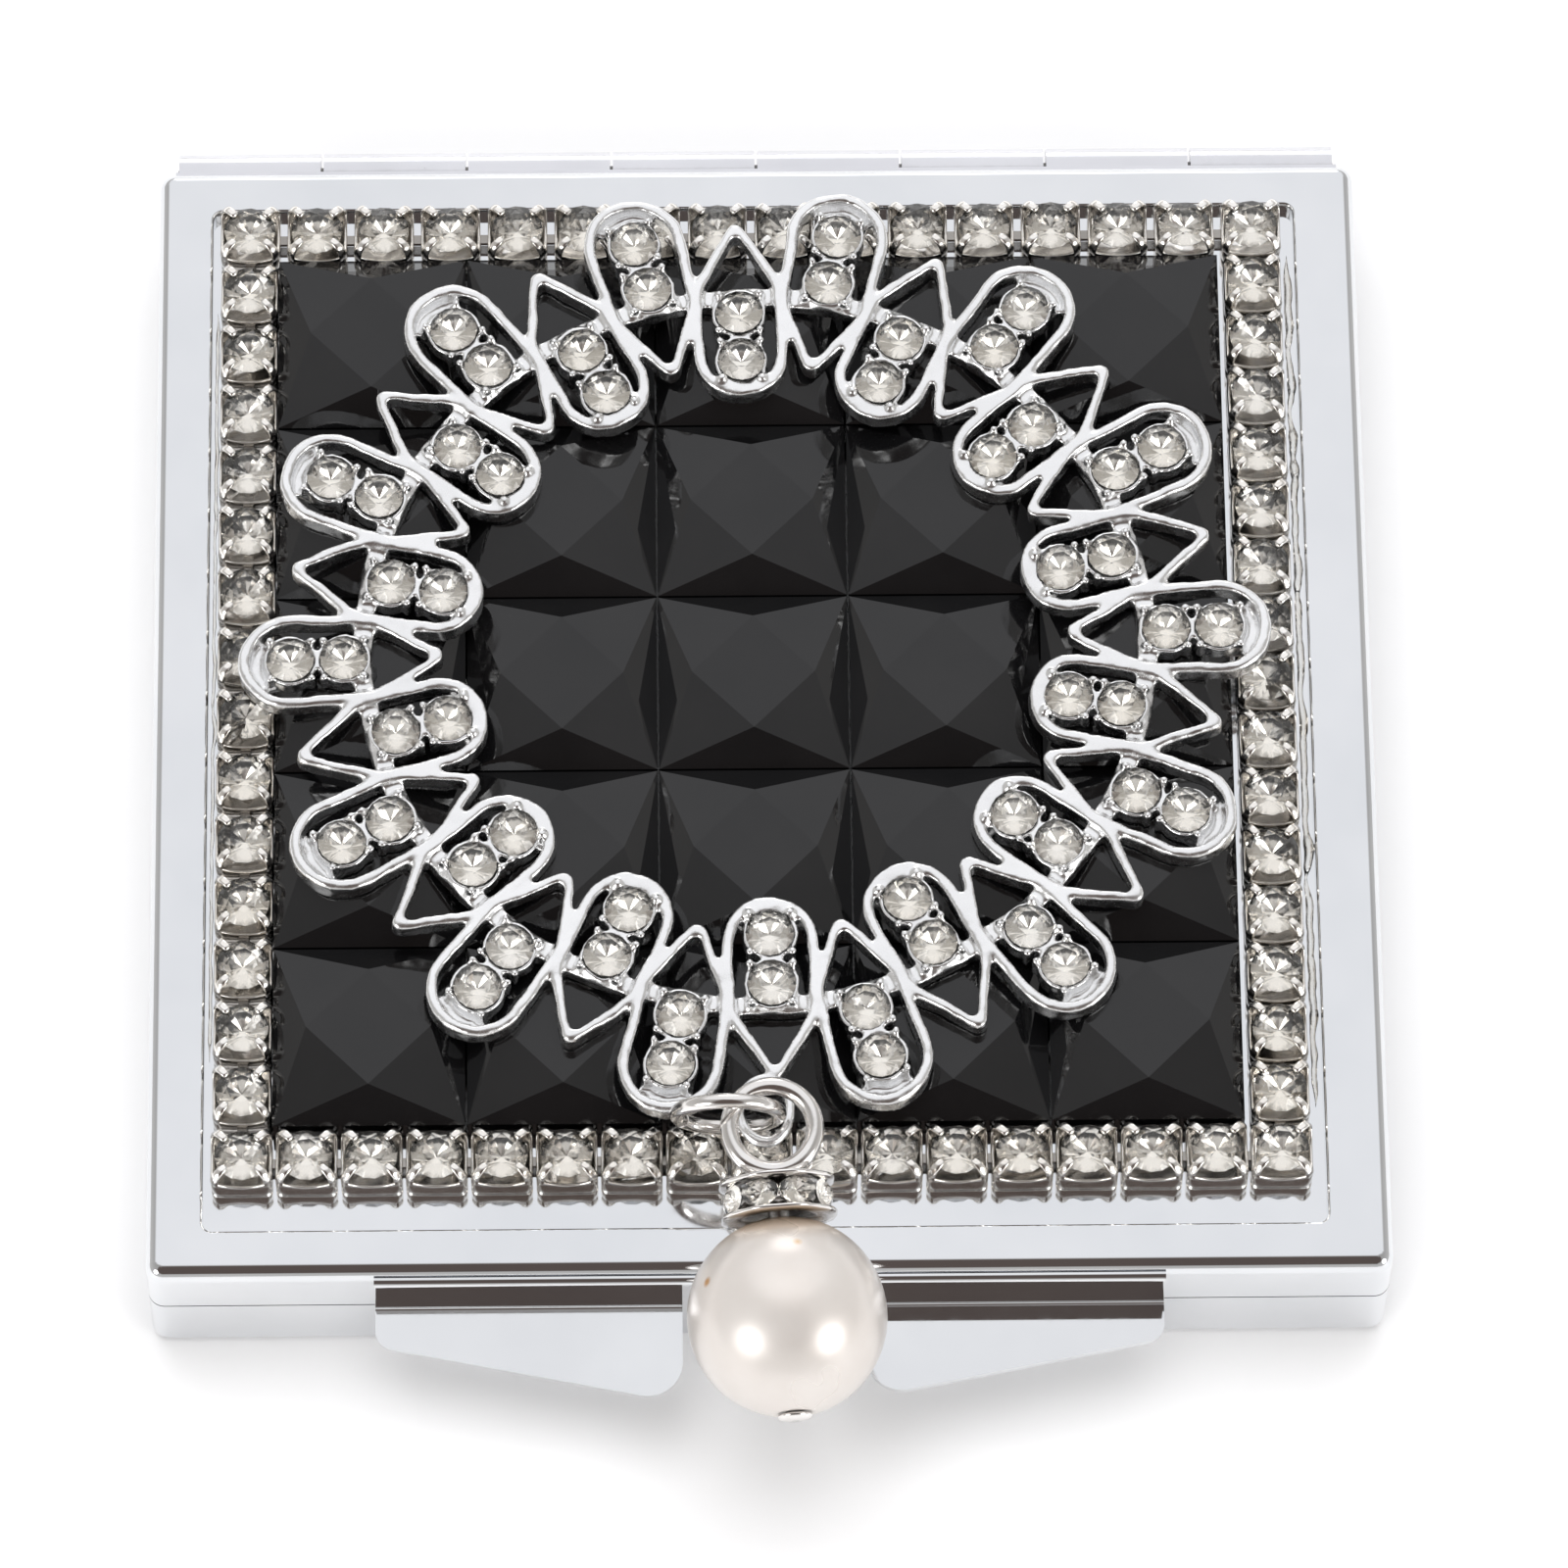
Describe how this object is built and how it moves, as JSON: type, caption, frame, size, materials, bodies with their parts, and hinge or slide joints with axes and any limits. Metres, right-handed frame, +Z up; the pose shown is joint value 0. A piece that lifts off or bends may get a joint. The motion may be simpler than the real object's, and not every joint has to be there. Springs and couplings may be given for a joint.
{
  "type": "powder compact",
  "caption": "Square hinged powder compact with pan, puff and mirror, a lid set with black faceted stones framed by cup chain, an openwork stone wreath and a pearl charm.",
  "frame": {"origin": "middle of the flat underside of the closed case", "axes": "+Z up through the lid, -Y to the front, where the latch and the charm are, +Y to the hinge, +X to the right seen from the front"},
  "size_m": [0.064, 0.0762, 0.0177],
  "materials": {
    "case_metal": "polished nickel plate",
    "plated_casting": "bright silver plate",
    "cup_metal": "bright silver plate",
    "black_stone": "polished facets, opaque",
    "clear_stone": "polished facets",
    "glue": "clear, cured",
    "tray_plastic": "gloss",
    "pan_metal": "satin",
    "powder": "matt pressed powder",
    "puff_velour": "velour",
    "ribbon": "satin",
    "mirror_glass": "silvered",
    "pearl_coat": "pearl lustre"
  },
  "bodies": {
    "base": {"base_shell": "case_metal", "base_hinge_leaf": "case_metal", "hinge_pin": "case_metal", "inner_tray": "tray_plastic", "pan_adhesive": "glue", "powder_pan": "pan_metal", "powder_cake": "powder", "powder_puff": "puff_velour", "puff_ribbon": "ribbon"},
    "lid": {"lid_shell": "case_metal", "lid_hinge_leaf": "case_metal", "latch_plate": "case_metal", "mirror_adhesive": "glue", "mirror": "mirror_glass", "mirror_bezel": "tray_plastic", "stone_adhesive": "glue", "black_stones": "black_stone", "chain_cups_front": "cup_metal", "chain_cups_back": "cup_metal", "chain_cups_left": "cup_metal", "chain_cups_right": "cup_metal", "chain_links": "cup_metal", "chain_crystals_front": "clear_stone", "chain_crystals_back": "clear_stone", "chain_crystals_left": "clear_stone", "chain_crystals_right": "clear_stone", "wreath_casting": "plated_casting", "wreath_crystals": "clear_stone", "wreath_adhesive": "glue"},
    "jump_ring": {"jump_ring": "plated_casting"},
    "charm": {"head_pin": "plated_casting"},
    "rondelle": {"rondelle_frame": "plated_casting", "rondelle_crystals": "clear_stone"},
    "pearl": {"pearl": "pearl_coat"}
  },
  "joints": [
    {"name": "lid_hinge", "type": "hinge", "parent": "base", "child": "lid", "pos_m": [0, 0.03365, 0.005], "axis": [-1, 0, 0], "range_deg": [0, 120]},
    {"name": "ring_swing", "type": "hinge", "parent": "lid", "child": "jump_ring", "pos_m": [-0.00007, -0.02498, 0.0121], "axis": [-1, 0, 0], "range_deg": [0, 25]},
    {"name": "charm_swing", "type": "hinge", "parent": "jump_ring", "child": "charm", "pos_m": [0.00038, -0.02531, 0.01447], "axis": [-0.3011, -0.133, 0.9443], "range_deg": [0, 40]},
    {"name": "rondelle_spin", "type": "hinge", "parent": "charm", "child": "rondelle", "pos_m": [0.00081, -0.03594, 0.0126], "axis": [-0.0687, 0.9824, 0.1736], "continuous": true},
    {"name": "pearl_spin", "type": "hinge", "parent": "charm", "child": "pearl", "pos_m": [0.00081, -0.03594, 0.0126], "axis": [-0.0687, 0.9824, 0.1736], "continuous": true}
  ]
}
